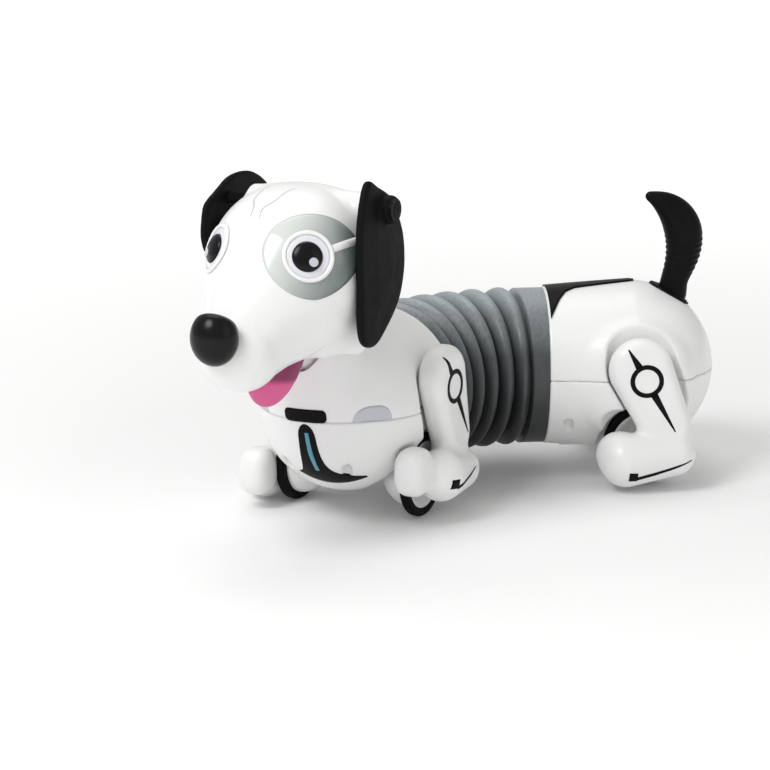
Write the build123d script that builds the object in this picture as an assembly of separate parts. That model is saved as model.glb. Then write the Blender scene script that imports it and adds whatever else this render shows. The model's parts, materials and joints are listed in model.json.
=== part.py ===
from build123d import *
import math
import os

# Robot dog toy. Millimetres, +Z up, the wheels stand on z = 0.
#
# The body is a rear half and a front half joined by a bellows that is bent to the dog's left at rest.
# Each half is modelled in its own frame: x forward along that half's axis, y to the dog's left, and
# the origin on the floor under the point where both halves' axes cross. The finished assembly is then
# moved so that the origin is the bottom centre of its bounding box.

# ---- driving dimensions ----
AXIS_Z = 44.7  # height of both body axes above the floor
RIM_X = 46.3  # distance from the axes' crossing to each shell's rim
RIM_R = 32.5  # outer radius at the rims
WALL = 2.0  # shell wall
BEND = 60.0  # angle between the halves at rest
CHEST_X, CHEST_R = 74.0, 34.5  # centre and radius of the chest's ball
RUMP_X, RUMP_R = -82.1, 35.5  # centre and radius of the rump's ball
LIP = 5.0  # length of the straight seat inside each rim

WHEEL_R, TYRE_W = 16.6, 3.6
DISC_R, DOME_R = 14.3, 13.6
FRONT_AXLE_X, FRONT_FACE_Y = 64.4, 29.3  # front axle, and outer face of the front tyres
REAR_AXLE_X, REAR_FACE_Y = -85.8, 27.8
AXLE_R = 1.5
RUN = 0.05  # radial clearance of a running fit
WELL_GAP, WELL_WALL = 1.2, 1.5  # between a tyre and its well, and the well's wall
WELL_IN_Y = 10.0  # inner wall of the wheel wells

HEAD_X, HEAD_Z, HEAD_R = 111.0, 105.0, 31.0
MUZZLE_X, MUZZLE_Z, MUZZLE_R = 154.5, 81.0, 15.7
NOSE_X, NOSE_Z, NOSE_R = 168.2, 88.0, 9.3
SEAM_X = 106.0  # the head splits into face and back here
TONGUE = ((143.0, 0, 64.8, 7.6), (131.0, 0, 66.0, 9.0))
EYE, EYE_NORMAL = (138.9, 17.3, 111.3), (0.611, 0.641, 0.465)
EYE_R, PUPIL_R = 8.0, 5.6
NECK_X, NECK_Z, NECK_R = 88.0, 58.8, 21.5  # foot of the neck collar
COLLAR_X, COLLAR_Z, COLLAR_R = 105.0, 82.5, 15.5  # top of the neck collar
NECK_GAP = 6.5  # room in the head's opening for it to turn and nod
TURN_X, POST_R = 103.0, 5.0  # upright axis of the head's turn, and its post
NOD_Z, NOD_PIN_R = 99.0, 2.0
SOCKET_Z = 71.0  # top of the plate that carries the post
YOKE_R, YOKE_Z = 8.0, 86.5

EAR_X, EAR_Z, EAR_PIN_R = 110.0, 128.0, 2.2  # ear pivots
EAR_IN_Y, EAR_T = 32.8, 4.6
EAR_TOP = ((112.0, 129.0, 9.0), (108.5, 105.0, 14.5))  # the ear flaps, as pairs of circles: x, z, radius
EAR_TIP = ((108.5, 105.0, 14.5), (112.5, 87.5, 9.5))
EAR_BACK = {"left": 0.0, "right": 52.0}  # how far each ear is flung back at rest

LEG_T = 6.0
FRONT_HIP, FRONT_ANKLE, FRONT_LEG_Y = (64.6, 56.3, 13.0), (57.5, 33.0, 10.0), 36.0  # circles: x, z, radius
REAR_HIP, REAR_ANKLE, REAR_LEG_Y = (-82.5, 50.0, 13.0), (-93.0, 27.0, 10.5), 36.4
FRONT_PIN, REAR_PIN = (63.0, 52.8), (-84.3, 46.5)  # guide pins at the top of each leg's travel or its foot
PAW_Y = 40.2
FRONT_PAW = ((82.0, 21.5, 9.8), (52.5, 17.5, 8.8))  # toe and heel balls: x, z, radius
REAR_PAW = ((-76.0, 13.2, 10.6), (-96.5, 15.2, 8.8))
PIN_R, STEP = 2.5, 8.0  # leg guide pins, and how far a leg lifts

BEND_R = RIM_X / math.tan(math.radians(BEND / 2))  # radius of the bellows' centreline
PIVOT_X = RIM_X - BEND_R * math.tan(math.radians(BEND / 4))  # waist pivots, from the crossing
LINK_T, LINK_W, SPINE_R = 4.0, 14.0, 3.0
BELLY_Z, DOOR_LOW, DOOR_HIGH = 12.2, (-77.0, -9.0), (-53.0, 9.0)  # flat belly and its battery door
SWITCH_X = -92.0
FRONT_SCREWS = ((98.0, 12.6, 27.5),)  # x, y and head height
REAR_SCREWS = ((-54.5, 26.5, 29.0),)
CELL_R, CELL_HALF, CELLS = 5.2, 21.4, ((-56.5, 29.0), (-61.0, 39.0), (-72.0, 43.5))
TAIL_PATH = (  # the tail's centreline: x, z, radius
    (-100.5, 81.0, 4.2),
    (-103.0, 86.0, 6.6),
    (-104.8, 96.0, 7.3),
    (-101.7, 105.7, 7.6),
    (-95.0, 113.0, 4.4),
    (-90.0, 115.8, 1.8),
)
FRAME_R = 30.4  # waist frames, inside the rims
BELLOWS_RIBS = 7

REAR = Location((0, 0, 0))
FRONT = Location((0, 0, 0), (0, 0, BEND))
SIDES = {"left": 1, "right": -1}

nodes = {}


def put(name, frame, shape):
    """Keeps a finished piece under its node's name, moved from its half's frame."""
    nodes[name] = frame * shape


def box(low, high):
    """A block from its lowest to its highest corner."""
    size = [b - a for a, b in zip(low, high)]
    middle = [(a + b) / 2 for a, b in zip(low, high)]
    return Pos(*middle) * Box(*size)


def rod_y(x, z, radius, y_from, y_to):
    """A cylinder across the body."""
    return Pos(x, (y_from + y_to) / 2, z) * Rot(90, 0, 0) * Cylinder(radius, abs(y_to - y_from))


def rod_x(y, z, radius, x_from, x_to):
    """A cylinder along the body."""
    return Pos((x_from + x_to) / 2, y, z) * Rot(0, 90, 0) * Cylinder(radius, abs(x_to - x_from))


def rod_z(x, y, radius, z_from, z_to):
    """An upright cylinder."""
    return Pos(x, y, (z_from + z_to) / 2) * Cylinder(radius, abs(z_to - z_from))


def on_line(start, end):
    """A location at start whose x axis points at end."""
    return Plane(origin=start, x_dir=Vector(*end) - Vector(*start), z_dir=(0, 1, 0)).location


def ball_hull(start, end, r_start, r_end):
    """The rounded cone that wraps two balls, turned in one piece about the line through both centres."""
    length = (Vector(*end) - Vector(*start)).length
    lean = math.asin((r_start - r_end) / length)
    sine, cosine = math.sin(lean), math.cos(lean)
    mid_a = (math.pi + math.pi / 2 - lean) / 2
    mid_b = (math.pi / 2 - lean) / 2
    a = (r_start * sine, r_start * cosine)
    b = (length + r_end * sine, r_end * cosine)
    outline = Curve() + [
        ThreePointArc((-r_start, 0), (r_start * math.cos(mid_a), r_start * math.sin(mid_a)), a),
        Line(a, b),
        ThreePointArc(b, (length + r_end * math.cos(mid_b), r_end * math.sin(mid_b)), (length + r_end, 0)),
        Line((length + r_end, 0), (-r_start, 0)),
    ]
    return on_line(start, end) * revolve(make_face(outline), Axis.X)


def cone_between(start, end, r_start, r_end):
    """A truncated cone between two points."""
    length = (Vector(*end) - Vector(*start)).length
    outline = Polyline((0, 0), (0, r_start), (length, r_end), (length, 0), close=True)
    return on_line(start, end) * revolve(make_face(outline), Axis.X)


def lobe(toe, heel):
    """A rounded lobe along the body, from one ball to another, each given as x, y, z and radius."""
    return ball_hull(heel[:3], toe[:3], heel[3], toe[3])


def torso(ball_x, ball_r, wall):
    """The outside of a body half, or its inside when wall is given, with its ball end away from the rim."""
    way = 1 if ball_x > 0 else -1
    rim = RIM_X * way
    r_rim = RIM_R - wall
    r_ball = ball_r - wall
    reach = rim - way * (1.0 if wall else 0.0)
    seat = rim + way * (LIP if wall else 0.0)
    tip = (ball_x + way * r_ball, 0)
    knee = (ball_x + way * r_ball * math.sqrt(0.5), r_ball * math.sqrt(0.5))
    sides = [Line((reach, 0), (reach, r_rim))]
    if wall:
        sides.append(Line((reach, r_rim), (seat, r_rim)))
    sides += [
        Line((seat, r_rim), (ball_x, r_ball)),
        ThreePointArc((ball_x, r_ball), knee, tip),
        Line(tip, (reach, 0)),
    ]
    return Pos(0, 0, AXIS_Z) * revolve(make_face(Curve() + sides), Axis.X)


def upper(shape):
    return shape & box((-200, -100, AXIS_Z), (200, 100, 200))


def lower(shape):
    return shape & box((-200, -100, 0), (200, 100, AXIS_Z))


def wells(axle_x, grow):
    """The two wheel wells of a body half, as solid drums."""
    radius = WHEEL_R + WELL_GAP + grow
    drums = [rod_y(axle_x, WHEEL_R, radius, side * (WELL_IN_Y - grow), side * 60) for side in (1, -1)]
    return drums[0] + drums[1]


def leg_slots(x, low, leg_y):
    """The upright slots that guide a half's two leg pins; low is the height of a pin with its paw down."""
    width = PIN_R + 2 * RUN
    cuts = None
    for side in (1, -1):
        y_low, y_high = sorted((side * (leg_y - 14), side * (leg_y + 2)))
        slot = rod_y(x, low, width, y_low, y_high) + rod_y(x, low + STEP, width, y_low, y_high)
        slot += box((x - width, y_low, low), (x + width, y_high, low + STEP))
        cuts = slot if cuts is None else cuts + slot
    return cuts


def flat_lobe(side, first, second, inner_y, thick):
    """A flat plate that wraps two circles, each given as x, z and radius, on one side of the body."""
    (xa, za, ra), (xb, zb, rb) = first, second
    inner, outer = side * inner_y, side * (inner_y + thick)
    lean = math.asin((ra - rb) / math.hypot(xb - xa, zb - za))
    heading = math.atan2(zb - za, xb - xa)
    corners = []
    for turn in (1, -1):
        tangent = heading + turn * (math.pi / 2 - lean)
        ends = [(x + r * math.cos(tangent), z + r * math.sin(tangent)) for x, z, r in (first, second)]
        corners += ends[::turn]
    web = Plane((0, max(inner, outer), 0), x_dir=(1, 0, 0), z_dir=(0, -1, 0)).location
    plate = extrude(web * make_face(Polyline(*corners, close=True)), amount=thick, dir=(0, -1, 0))
    return plate + rod_y(xa, za, ra, inner, outer) + rod_y(xb, zb, rb, inner, outer)


def leg(side, hip, ankle, pin, leg_y, paw):
    """A flat upper leg with a rounded paw; its top has a hole for the guide pin."""
    toe, heel = [(x, side * PAW_Y, z, r) for x, z, r in paw]
    body = flat_lobe(side, hip, ankle, leg_y, LEG_T) + lobe(toe, heel)
    return body - rod_y(*pin, PIN_R, side * (leg_y - 1), side * (leg_y + 3.5))


def leg_pin(side, pin, leg_y):
    """The headed pin that holds a leg in its slot."""
    inner = side * leg_y
    shaft = rod_y(*pin, PIN_R, inner + side * 3.5, inner - side * 7.0)
    return shaft + rod_y(*pin, PIN_R + 1.6, inner - side * 7.0, inner - side * 8.5)


def wheel(name, frame, axle_x, face_y, side, shaft_r):
    """A wheel's domed hub and its tyre."""
    inner = side * (face_y - TYRE_W)
    outer = side * face_y
    hub = rod_y(axle_x, WHEEL_R, DISC_R, inner, side * (face_y - 0.3))
    dome = Pos(axle_x, inner, WHEEL_R) * Sphere(DOME_R)
    half = box((axle_x - 20, min(inner, 0), -5), (axle_x + 20, max(inner, 0), 40))
    hub += dome & half
    hub -= rod_y(axle_x, WHEEL_R, shaft_r, side * 5, side * (face_y - 1.5))
    tyre = rod_y(axle_x, WHEEL_R, WHEEL_R, inner, outer) - rod_y(axle_x, WHEEL_R, DISC_R, side * 5, side * 60)
    rounded = [e for e in tyre.edges().filter_by(GeomType.CIRCLE) if e.radius > DISC_R + 1]
    put(name + "_wheel_hub", frame, hub)
    put(name + "_tyre", frame, fillet(rounded, 1.0))


def screw_posts(places, inside):
    """Inside posts for a half's shell screws, each place being x, y and the height of the screw's head."""
    posts = [rod_z(x, side * y, 3.2, 0, AXIS_Z + 8) & inside for x, y, _ in places for side in (1, -1)]
    return posts[0] + posts[1:]


def screw_holes(places):
    """What the screws and the recesses below their heads take out of a half's shell."""
    cuts = [rod_z(x, side * y, 2.6, 0, head + 1.4) for x, y, head in places for side in (1, -1)]
    cuts += [rod_z(x, side * y, 1.1, head, AXIS_Z + 6) for x, y, head in places for side in (1, -1)]
    return cuts[0] + cuts[1:]


def screws(places):
    """The pan-head screws themselves."""
    made = [rod_z(x, side * y, 2.4, head, head + 1.4) for x, y, head in places for side in (1, -1)]
    made += [rod_z(x, side * y, 1.1, head + 1.4, AXIS_Z + 6) for x, y, head in places for side in (1, -1)]
    return made[0] + made[1:]


def waist_frame(side_x):
    """The ring inside a rim with the fork that holds the spine link's pivot."""
    way = 1 if side_x > 0 else -1
    ring = rod_x(0, AXIS_Z, FRAME_R, way * (RIM_X - 1.8), way * (RIM_X + 4.0))
    ring -= rod_x(0, AXIS_Z, FRAME_R - 3.0, way * (RIM_X - 10), way * (RIM_X + 10))
    disc = rod_x(0, AXIS_Z, FRAME_R - 2.0, way * (RIM_X - 1.0), way * (RIM_X + 4.0))
    fork = None
    for up in (1, -1):
        near = AXIS_Z + up * (LINK_T / 2 + 0.3)
        far = AXIS_Z + up * (LINK_T / 2 + 3.3)
        z_low, z_high = sorted((near, far))
        x_low, x_high = sorted((way * PIVOT_X, way * (RIM_X + 2)))
        arm = box((x_low, -LINK_W / 2, z_low), (x_high, LINK_W / 2, z_high))
        arm += rod_z(way * PIVOT_X, 0, LINK_W / 2, z_low, z_high)
        bar = disc & box((-200, -40, z_low), (200, 40, z_high))
        fork = arm + bar if fork is None else fork + arm + bar
    hole = rod_z(way * PIVOT_X, 0, SPINE_R, AXIS_Z - 20, AXIS_Z + 20)
    return ring + fork - hole


def spine_pin(side_x):
    reach = LINK_T / 2 + 3.3
    x = math.copysign(PIVOT_X, side_x)
    return rod_z(x, 0, SPINE_R, AXIS_Z - reach, AXIS_Z + reach)


def waist():
    """The spine link and the bellows, modelled in the rear frame with the bend towards +y."""
    rear_pivot = Vector(-PIVOT_X, 0)
    front_pivot = Vector(PIVOT_X * math.cos(math.radians(BEND)), PIVOT_X * math.sin(math.radians(BEND)))
    span = front_pivot - rear_pivot
    middle = (rear_pivot + front_pivot) * 0.5
    bar = Pos(middle.X, middle.Y, AXIS_Z) * Rot(0, 0, BEND / 2) * Box(span.length, LINK_W, LINK_T)
    low, high = AXIS_Z - LINK_T / 2, AXIS_Z + LINK_T / 2
    for pivot in (rear_pivot, front_pivot):
        bar += rod_z(pivot.X, pivot.Y, LINK_W / 2, low, high)
    for pivot in (rear_pivot, front_pivot):
        bar -= rod_z(pivot.X, pivot.Y, SPINE_R + RUN, low - 1, high + 1)
    put("spine_link", REAR, bar)

    axis = Axis((-RIM_X, BEND_R, 0), (0, 0, 1))
    start = Plane((-RIM_X, 0, AXIS_Z), x_dir=(0, 1, 0), z_dir=(1, 0, 0))

    def band(r_in, r_out, turn_from, turn_to):
        ring = start.location * (Circle(r_out) - Circle(r_in))
        turned = Location((-RIM_X, BEND_R, 0), (0, 0, turn_from)) * (Location((RIM_X, -BEND_R, 0)) * ring)
        return revolve(turned, axis, turn_to - turn_from)

    collar, flange = 2.7, 3.8
    tube_in, tube_out, crest_r = 27.6, 29.2, 32.2
    skin = band(FRAME_R + 0.3, crest_r, 0, collar) + band(FRAME_R + 0.3, crest_r, BEND - collar, BEND)
    skin += band(tube_in, crest_r, collar, flange) + band(tube_in, crest_r, BEND - flange, BEND - collar)
    skin += band(tube_in, tube_out, flange, BEND - flange)
    pitch = (BEND - 2 * flange) / BELLOWS_RIBS
    for i in range(BELLOWS_RIBS):
        middle_turn = flange + pitch * (i + 0.5)
        skin += band(tube_in, crest_r, middle_turn - pitch * 0.3, middle_turn + pitch * 0.3)
    put("bellows", REAR, skin)


def front_body():
    outside = torso(CHEST_X, CHEST_R, 0)
    inside = torso(CHEST_X, CHEST_R, WALL)
    foot = (NECK_X, 0, NECK_Z)
    top = (COLLAR_X, 0, COLLAR_Z)
    collar = cone_between(foot, top, NECK_R, COLLAR_R)
    bore = cone_between(foot, top, NECK_R - WALL, COLLAR_R - WALL)
    stretched = (COLLAR_X + (COLLAR_X - NECK_X) * 0.2, 0, COLLAR_Z + (COLLAR_Z - NECK_Z) * 0.2)
    bore_past = cone_between(top, stretched, COLLAR_R - WALL, COLLAR_R - WALL - 1)
    cavity = inside + bore
    shell = outside + collar - cavity - bore_past
    shell += outside & wells(FRONT_AXLE_X, WELL_WALL)
    shell -= wells(FRONT_AXLE_X, 0)
    shell -= leg_slots(FRONT_PIN[0], FRONT_PIN[1] - STEP, FRONT_LEG_Y)
    shell -= rod_y(FRONT_AXLE_X, WHEEL_R, AXLE_R + RUN, -20, 20)
    shell += screw_posts(FRONT_SCREWS, inside)
    shell -= screw_holes(FRONT_SCREWS)

    window = box((96, -8.5, 45.2), (112, 8.5, 49.4))
    lens = box((92, -1.6, 25), (112, 1.6, 40))
    trim = box((92, -3.6, 21), (112, 3.6, 43)) + box((90, -12, 19.5), (112, 12, 23.0))
    for name, cut in (("chest_sensor_window", window), ("chest_light_lens", lens), ("chest_trim", trim)):
        piece = cut & (outside - torso(CHEST_X, CHEST_R, 1.2))
        if name == "chest_trim":
            piece -= lens
        put(name, FRONT, piece)
        shell -= cut & (outside - torso(CHEST_X, CHEST_R, 1.2))
    put("front_upper_shell", FRONT, upper(shell))
    put("front_lower_shell", FRONT, lower(shell))

    plate = box((80, -30, SOCKET_Z - 3), (130, 30, SOCKET_Z)) & bore
    post = plate + rod_z(TURN_X, 0, POST_R, SOCKET_Z - 1, NOD_Z - 4)
    put("neck_pivot_post", FRONT, post)

    gearbox = box((52, -8.0, 14.5), (78, 8.0, 30)) & inside
    gearbox -= rod_y(FRONT_AXLE_X, WHEEL_R, AXLE_R + RUN, -20, 20)
    put("front_gearbox", FRONT, gearbox)
    motors = None
    for side in (1, -1):
        motor = rod_x(side * 8.5, 44.5, 7.0, 60, 84) + rod_x(side * 8.5, 44.5, 1.0, 56, 60)
        motors = motor if motors is None else motors + motor
    put("drive_motors", FRONT, motors)
    put("motor_bracket", FRONT, box((58, -16, 36.4), (76, 16, 37.4)) + box((58, -8, 30), (76, 8, 36.4)))
    put("front_circuit_board", FRONT, box((56, -22, 54), (84, 22, 55.6)) - rod_z(TURN_X, 0, 8, 50, 60))
    put("speaker", FRONT, rod_z(66, 0, 11, 55.6, 61))
    above_wells = box((0, -60, WHEEL_R * 2 + WELL_GAP + WELL_WALL + 0.3), (100, 60, 100))
    put("front_waist_frame", FRONT, waist_frame(1) & above_wells)
    put("front_spine_pin", FRONT, spine_pin(1))
    put("front_screws", FRONT, screws(FRONT_SCREWS))


def front_wheels():
    for name, side in SIDES.items():
        wheel("front_" + name, FRONT, FRONT_AXLE_X, FRONT_FACE_Y, side, AXLE_R)
        axle = rod_y(FRONT_AXLE_X, WHEEL_R, AXLE_R, side * 1.0, side * (FRONT_FACE_Y - 1.5))
        put("front_" + name + "_axle", FRONT, axle)


def rear_body():
    above_belly = box((-200, -100, BELLY_Z), (0, 100, 200))
    above_floor = box((-200, -100, BELLY_Z + WALL), (0, 100, 200))
    outside = torso(RUMP_X, RUMP_R, 0) & above_belly
    inside = torso(RUMP_X, RUMP_R, WALL) & above_floor
    shell = outside - inside
    shell += outside & wells(REAR_AXLE_X, WELL_WALL)
    shell -= wells(REAR_AXLE_X, 0)
    shell -= leg_slots(*REAR_PIN, REAR_LEG_Y)
    shell -= rod_y(REAR_AXLE_X, WHEEL_R, AXLE_R, -20, 20)
    shell += screw_posts(REAR_SCREWS, inside)
    shell -= screw_holes(REAR_SCREWS)
    shell -= box((*DOOR_LOW, BELLY_Z - 1), (*DOOR_HIGH, BELLY_Z + WALL + 1))
    door_gap = 0.15
    door_low = (DOOR_LOW[0] + door_gap, DOOR_LOW[1] + door_gap, BELLY_Z)
    door = box(door_low, (DOOR_HIGH[0] - door_gap, DOOR_HIGH[1] - door_gap, BELLY_Z + WALL))
    put("battery_door", REAR, door - rod_z(-56, 0, 1.3, 0, 20) - rod_z(-56, 0, 2.6, 0, BELLY_Z + 0.8))

    layer = outside - torso(RUMP_X, RUMP_R, 1.0)
    saddle = layer & (box((-84, -8, 60), (-RIM_X, 8, 100)) + box((-56, -22, 52), (-RIM_X, 22, 100)))
    put("saddle_panel", REAR, saddle)
    shell -= saddle
    x, z, foot_r = TAIL_PATH[0]
    socket = rod_z(x, 0, foot_r + 2.0, 66, 76) & torso(RUMP_X, RUMP_R, WALL)
    put("tail_socket", REAR, socket - rod_z(x, 0, 2.0 + RUN, 60, 90))
    shell -= rod_z(x, 0, 3.0, 60, 100)
    shell -= box((SWITCH_X - 1.4, -1.3, 0), (SWITCH_X + 1.4, 4.3, 20))
    put("rear_upper_shell", REAR, upper(shell))
    put("rear_lower_shell", REAR, lower(shell))

    cells = None
    for x, z in CELLS:
        cell = rod_y(x, z, CELL_R, -CELL_HALF, CELL_HALF) + rod_y(x, z, 1.9, CELL_HALF, CELL_HALF + 1.0)
        cells = cell if cells is None else cells + cell
    put("battery_cells", REAR, cells)
    put("rear_axle", REAR, rod_y(REAR_AXLE_X, WHEEL_R, AXLE_R, -(REAR_FACE_Y - 1.6), REAR_FACE_Y - 1.6))
    put("rear_waist_frame", REAR, waist_frame(-1))
    put("rear_spine_pin", REAR, spine_pin(-1))
    door_screw = rod_z(-56, 0, 2.4, BELLY_Z + 0.0, BELLY_Z + 0.8) + rod_z(-56, 0, 1.2, BELLY_Z + 0.8, 18)
    put("rear_screws", REAR, screws(REAR_SCREWS) + door_screw)


def rear_wheels():
    for name, side in SIDES.items():
        wheel("rear_" + name, REAR, REAR_AXLE_X, REAR_FACE_Y, side, AXLE_R + RUN)


def power_switch():
    """A slider that stands out of the belly near the rim."""
    inner_z = BELLY_Z + WALL + 0.1
    cap = box((SWITCH_X - 1.1, -1.0, BELLY_Z - 1.2), (SWITCH_X + 1.1, 1.0, inner_z))
    plate = box((SWITCH_X - 3.0, -1.8, inner_z), (SWITCH_X + 3.0, 1.8, inner_z + 1.0))
    put("power_switch", REAR, cap + plate)


def tail():
    shape = None
    for (xa, za, ra), (xb, zb, rb) in zip(TAIL_PATH, TAIL_PATH[1:]):
        piece = ball_hull((xa, 0, za), (xb, 0, zb), ra, rb)
        shape = piece if shape is None else shape + piece
    shape -= torso(RUMP_X, RUMP_R + 0.3, 0)
    x, z, foot_r = TAIL_PATH[0]
    put("tail", REAR, shape + rod_z(x, 0, 2.0, 67, z))


def lowered(drop, x, z, *radius):
    """A place in a leg's own plane, moved down."""
    return (x, z - drop, *radius)


def legs():
    for name, side in SIDES.items():
        drop = 0 if side > 0 else STEP
        pin = lowered(drop, *FRONT_PIN)
        paw = [lowered(drop, *ball) for ball in FRONT_PAW]
        casting = leg(side, lowered(drop, *FRONT_HIP), lowered(drop, *FRONT_ANKLE), pin, FRONT_LEG_Y, paw)
        put("front_" + name + "_leg", FRONT, casting)
        put("front_" + name + "_leg_pin", FRONT, leg_pin(side, pin, FRONT_LEG_Y))
        put("rear_" + name + "_leg", REAR, leg(side, REAR_HIP, REAR_ANKLE, REAR_PIN, REAR_LEG_Y, REAR_PAW))
        put("rear_" + name + "_leg_pin", REAR, leg_pin(side, REAR_PIN, REAR_LEG_Y))


def eye_disc(side, radius, deep, proud):
    """A round plug square to the face at one eye."""
    centre = (EYE[0], side * EYE[1], EYE[2])
    normal = (EYE_NORMAL[0], side * EYE_NORMAL[1], EYE_NORMAL[2])
    disc = Plane(origin=centre, z_dir=normal).location * Circle(radius)
    return extrude(disc, amount=proud, dir=normal) + extrude(disc, amount=-deep, dir=normal)


def head():
    ball, muzzle = (HEAD_X, 0, HEAD_Z), (MUZZLE_X, 0, MUZZLE_Z)
    outside = ball_hull(ball, muzzle, HEAD_R, MUZZLE_R)
    inside = ball_hull(ball, muzzle, HEAD_R - WALL, MUZZLE_R - WALL)
    foot = (NECK_X, 0, NECK_Z)
    stretched = (COLLAR_X + (COLLAR_X - NECK_X) * 0.2, 0, COLLAR_Z + (COLLAR_Z - NECK_Z) * 0.2)
    opening = cone_between(foot, stretched, NECK_R + NECK_GAP, COLLAR_R + NECK_GAP)
    shell = outside - inside - opening
    for name, side in SIDES.items():
        ring = eye_disc(side, EYE_R, 3.0, 0.8)
        hole = eye_disc(side, PUPIL_R, 5.0, 3.0)
        shell -= eye_disc(side, EYE_R, 8.0, 5.0)
        put(name + "_eye", FRONT, ring - hole)
        put(name + "_pupil", FRONT, eye_disc(side, PUPIL_R, 3.0, 1.4))
        boss_y = (EAR_IN_Y - 0.4) * side
        boss = rod_y(EAR_X, EAR_Z, 5.0, 0, boss_y) - inside
        shell += boss
        shell -= rod_y(EAR_X, EAR_Z, EAR_PIN_R, side * 12, side * 40)
        pin = rod_y(EAR_X, EAR_Z, EAR_PIN_R, side * 20, side * (EAR_IN_Y + EAR_T + 0.3))
        cap = rod_y(EAR_X, EAR_Z, 4.2, side * (EAR_IN_Y + EAR_T + 0.3), side * (EAR_IN_Y + EAR_T + 2.3))
        put(name + "_ear_pin", FRONT, pin + cap)
    put("face_shell", FRONT, shell & box((SEAM_X, -60, 40), (220, 60, 160)))
    put("head_back_shell", FRONT, shell & box((40, -60, 40), (SEAM_X, 60, 160)))
    put("nose", FRONT, Pos(NOSE_X, 0, NOSE_Z) * Sphere(NOSE_R) - outside)
    put("tongue", FRONT, lobe(*TONGUE) - outside)

    bar = rod_y(TURN_X, NOD_Z, NOD_PIN_R, -40, 40) & inside
    put("head_nod_pin", FRONT, bar)

    post_bore = rod_z(TURN_X, 0, POST_R + RUN, 60, NOD_Z - 4)
    yoke = rod_z(TURN_X, 0, YOKE_R, YOKE_Z, NOD_Z + 4) - post_bore
    put("neck_yoke", FRONT, yoke - rod_y(TURN_X, NOD_Z, NOD_PIN_R + RUN, -20, 20))


def ears():
    for name, side in SIDES.items():
        flap = flat_lobe(side, *EAR_TOP, EAR_IN_Y, EAR_T) + flat_lobe(side, *EAR_TIP, EAR_IN_Y, EAR_T)
        y_in, y_out = side * (EAR_IN_Y - 1), side * (EAR_IN_Y + EAR_T + 1)
        swing = Pos(EAR_X, 0, EAR_Z) * Rot(0, EAR_BACK[name], 0) * Pos(-EAR_X, 0, -EAR_Z)
        put(name + "_ear", FRONT, swing * flap - rod_y(EAR_X, EAR_Z, EAR_PIN_R + RUN, y_in, y_out))


def build():
    waist()
    front_body()
    front_wheels()
    rear_body()
    rear_wheels()
    power_switch()
    tail()
    legs()
    head()
    ears()
    boxes = [shape.bounding_box() for shape in nodes.values()]
    low_x, low_y = min(b.min.X for b in boxes), min(b.min.Y for b in boxes)
    high_x, high_y = max(b.max.X for b in boxes), max(b.max.Y for b in boxes)
    return Location((-(low_x + high_x) / 2, -(low_y + high_y) / 2, 0))


SHIFT = build()
os.makedirs("parts", exist_ok=True)
for name, shape in nodes.items():
    export_step(SHIFT * shape, f"parts/{name}.step")
print(len(nodes), "nodes, moved by", SHIFT.position)
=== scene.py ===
import json
import math

import bmesh
import bpy
import numpy as np
from mathutils import Matrix, Vector


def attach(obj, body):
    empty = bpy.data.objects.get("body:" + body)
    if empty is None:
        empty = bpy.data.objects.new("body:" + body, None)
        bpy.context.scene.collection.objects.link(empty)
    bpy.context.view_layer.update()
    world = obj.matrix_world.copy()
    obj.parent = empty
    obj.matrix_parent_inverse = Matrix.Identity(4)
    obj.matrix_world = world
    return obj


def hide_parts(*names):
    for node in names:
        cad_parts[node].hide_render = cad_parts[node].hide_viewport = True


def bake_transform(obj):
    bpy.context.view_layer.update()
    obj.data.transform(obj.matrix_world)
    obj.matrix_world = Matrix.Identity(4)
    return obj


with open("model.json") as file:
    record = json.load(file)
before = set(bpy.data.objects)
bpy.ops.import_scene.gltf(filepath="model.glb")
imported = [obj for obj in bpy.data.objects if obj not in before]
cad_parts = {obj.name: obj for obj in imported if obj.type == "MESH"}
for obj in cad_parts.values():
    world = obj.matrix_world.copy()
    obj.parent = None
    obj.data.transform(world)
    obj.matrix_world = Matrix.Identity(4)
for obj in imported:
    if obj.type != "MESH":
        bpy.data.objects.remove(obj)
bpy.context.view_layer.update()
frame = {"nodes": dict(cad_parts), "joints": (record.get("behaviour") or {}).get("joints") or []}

# A robot dog toy. Every shape below is given in millimetres in the frame of its own half of the body:
# x forward along that half's axis, y to the dog's left, z up from the floor, with the origin under the
# point where the two halves' axes cross. HALVES takes each half's shapes into the scene, in metres.

MM = 0.001
BEND = math.radians(60)  # the front half's turn to the left at rest
joint_at = {j["name"]: Vector(j["pos_m"]) for j in frame["joints"] if "pos_m" in j}
link = joint_at["waist_front"] - joint_at["waist_rear"]
pivot_reach = link.length / (2 * math.cos(BEND / 2))
crossing = joint_at["waist_rear"] + Vector((pivot_reach, 0, 0))
floor_point = Matrix.Translation((crossing.x, crossing.y, 0))
HALVES = {
    "rear": floor_point @ Matrix.Scale(MM, 4),
    "front": floor_point @ Matrix.Rotation(BEND, 4, "Z") @ Matrix.Scale(MM, 4),
}

AXIS_Z = 44.7  # height of both body axes
RIM_X = 46.3  # from the crossing to each rim
RIM_R = 32.5
WALL = 2.0
WHEEL_R, TYRE_W, DISC_R = 16.6, 3.6, 13.4
FRONT_AXLE_X, FRONT_FACE_Y = 64.4, 29.3
REAR_AXLE_X, REAR_FACE_Y = -85.8, 27.8
SIDES = {"left": 1, "right": -1}
STEP_UP = 8.0  # the front left leg stands this much higher than the others


# ------------------------ distance fields

def join(a, b, k):
    """Both shapes, with a fillet of about k between them."""
    h = np.clip(0.5 + 0.5 * (b - a) / k, 0, 1)
    return b * (1 - h) + a * h - k * h * (1 - h)


def overlap(a, b, k):
    """What both shapes share, with its edge rounded by about k."""
    return -join(-a, -b, k)


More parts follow.
